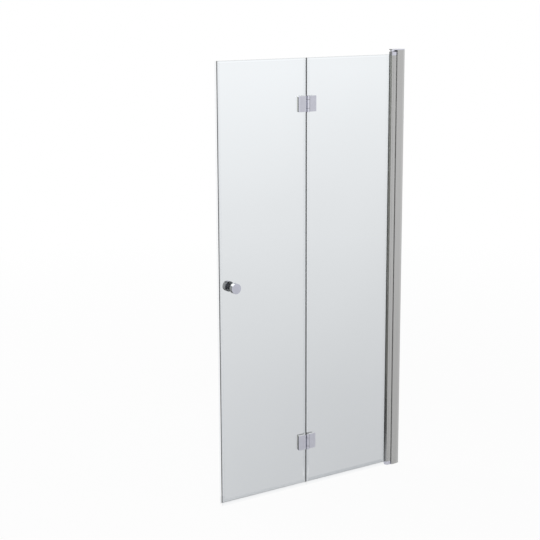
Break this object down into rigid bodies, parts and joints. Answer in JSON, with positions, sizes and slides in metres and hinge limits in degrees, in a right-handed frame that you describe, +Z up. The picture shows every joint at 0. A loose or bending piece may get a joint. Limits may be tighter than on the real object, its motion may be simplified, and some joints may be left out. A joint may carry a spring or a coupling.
{
  "type": "bifold shower door",
  "caption": "Frameless bifold shower door: glass panels that fold on glass hinges and pivot in a slim aluminium wall profile, with a round knob.",
  "frame": {"origin": "on the wall face, at the foot of the wall channel, in the middle of its depth", "axes": "+X towards the wall, the door runs along -X; +Y towards the inside of the shower; +Z up"},
  "size_m": [1, 0.082, 2],
  "materials": {
    "satin_aluminium": "satin anodised",
    "channel_aluminium": "satin anodised",
    "bracket_chrome": "polished",
    "hinge_chrome": "polished",
    "knob_chrome": "polished",
    "cap_plate": "satin",
    "screw_steel": "plain stainless",
    "pin_steel": "ground stainless",
    "clear_glass": "clear toughened glass, ground edges",
    "clear_seal": "clear soft PVC",
    "grey_seal": "soft grey",
    "washer_plastic": "acetal",
    "bush_plastic": "acetal"
  },
  "bodies": {
    "wall_frame": {"wall_channel": "channel_aluminium", "frame_profile": "satin_aluminium", "top_bracket": "bracket_chrome", "bottom_bracket": "bracket_chrome", "upper_pivot_collar": "bracket_chrome", "lower_thrust_washer": "washer_plastic", "upper_pivot_pin": "pin_steel", "lower_pivot_pin": "pin_steel", "bracket_screws": "screw_steel", "adjuster_screws": "screw_steel", "adjuster_screw_covers": "cap_plate", "pivot_seal": "grey_seal"},
    "inner_panel": {"pivot_profile": "satin_aluminium", "upper_pivot_cap": "bracket_chrome", "lower_pivot_cap": "bracket_chrome", "upper_pivot_bush": "bush_plastic", "lower_pivot_bush": "bush_plastic", "cap_screws": "screw_steel", "front_glazing_gasket": "clear_seal", "rear_glazing_gasket": "clear_seal", "inner_glass": "clear_glass", "inner_drip_seal": "clear_seal", "inner_joint_seal": "clear_seal", "upper_hinge_inner_leaf": "hinge_chrome", "upper_hinge_inner_back_plate": "hinge_chrome", "upper_hinge_inner_gaskets": "clear_seal", "upper_hinge_inner_screws": "screw_steel", "upper_hinge_pin": "pin_steel", "upper_hinge_washers": "bush_plastic", "lower_hinge_inner_leaf": "hinge_chrome", "lower_hinge_inner_back_plate": "hinge_chrome", "lower_hinge_inner_gaskets": "clear_seal", "lower_hinge_inner_screws": "screw_steel", "lower_hinge_pin": "pin_steel", "lower_hinge_washers": "bush_plastic"},
    "outer_panel": {"outer_glass": "clear_glass", "outer_drip_seal": "clear_seal", "outer_joint_seal": "clear_seal", "closing_edge_seal": "clear_seal", "upper_hinge_outer_leaf": "hinge_chrome", "upper_hinge_outer_back_plate": "hinge_chrome", "upper_hinge_outer_gaskets": "clear_seal", "upper_hinge_outer_screws": "screw_steel", "lower_hinge_outer_leaf": "hinge_chrome", "lower_hinge_outer_back_plate": "hinge_chrome", "lower_hinge_outer_gaskets": "clear_seal", "lower_hinge_outer_screws": "screw_steel", "front_knob": "knob_chrome", "rear_knob": "knob_chrome", "knob_stud": "pin_steel", "knob_gaskets": "clear_seal", "knob_sleeve": "washer_plastic"}
  },
  "joints": [
    {"name": "wall_pivot", "type": "hinge", "parent": "wall_frame", "child": "inner_panel", "pos_m": [-0.056, 0, 0], "axis": [0, 0, 1], "range_deg": [-90, 0]},
    {"name": "fold_hinge", "type": "hinge", "parent": "inner_panel", "child": "outer_panel", "pos_m": [-0.534, -0.0165, 0], "axis": [0, 0, 1], "range_deg": [0, 175]}
  ]
}
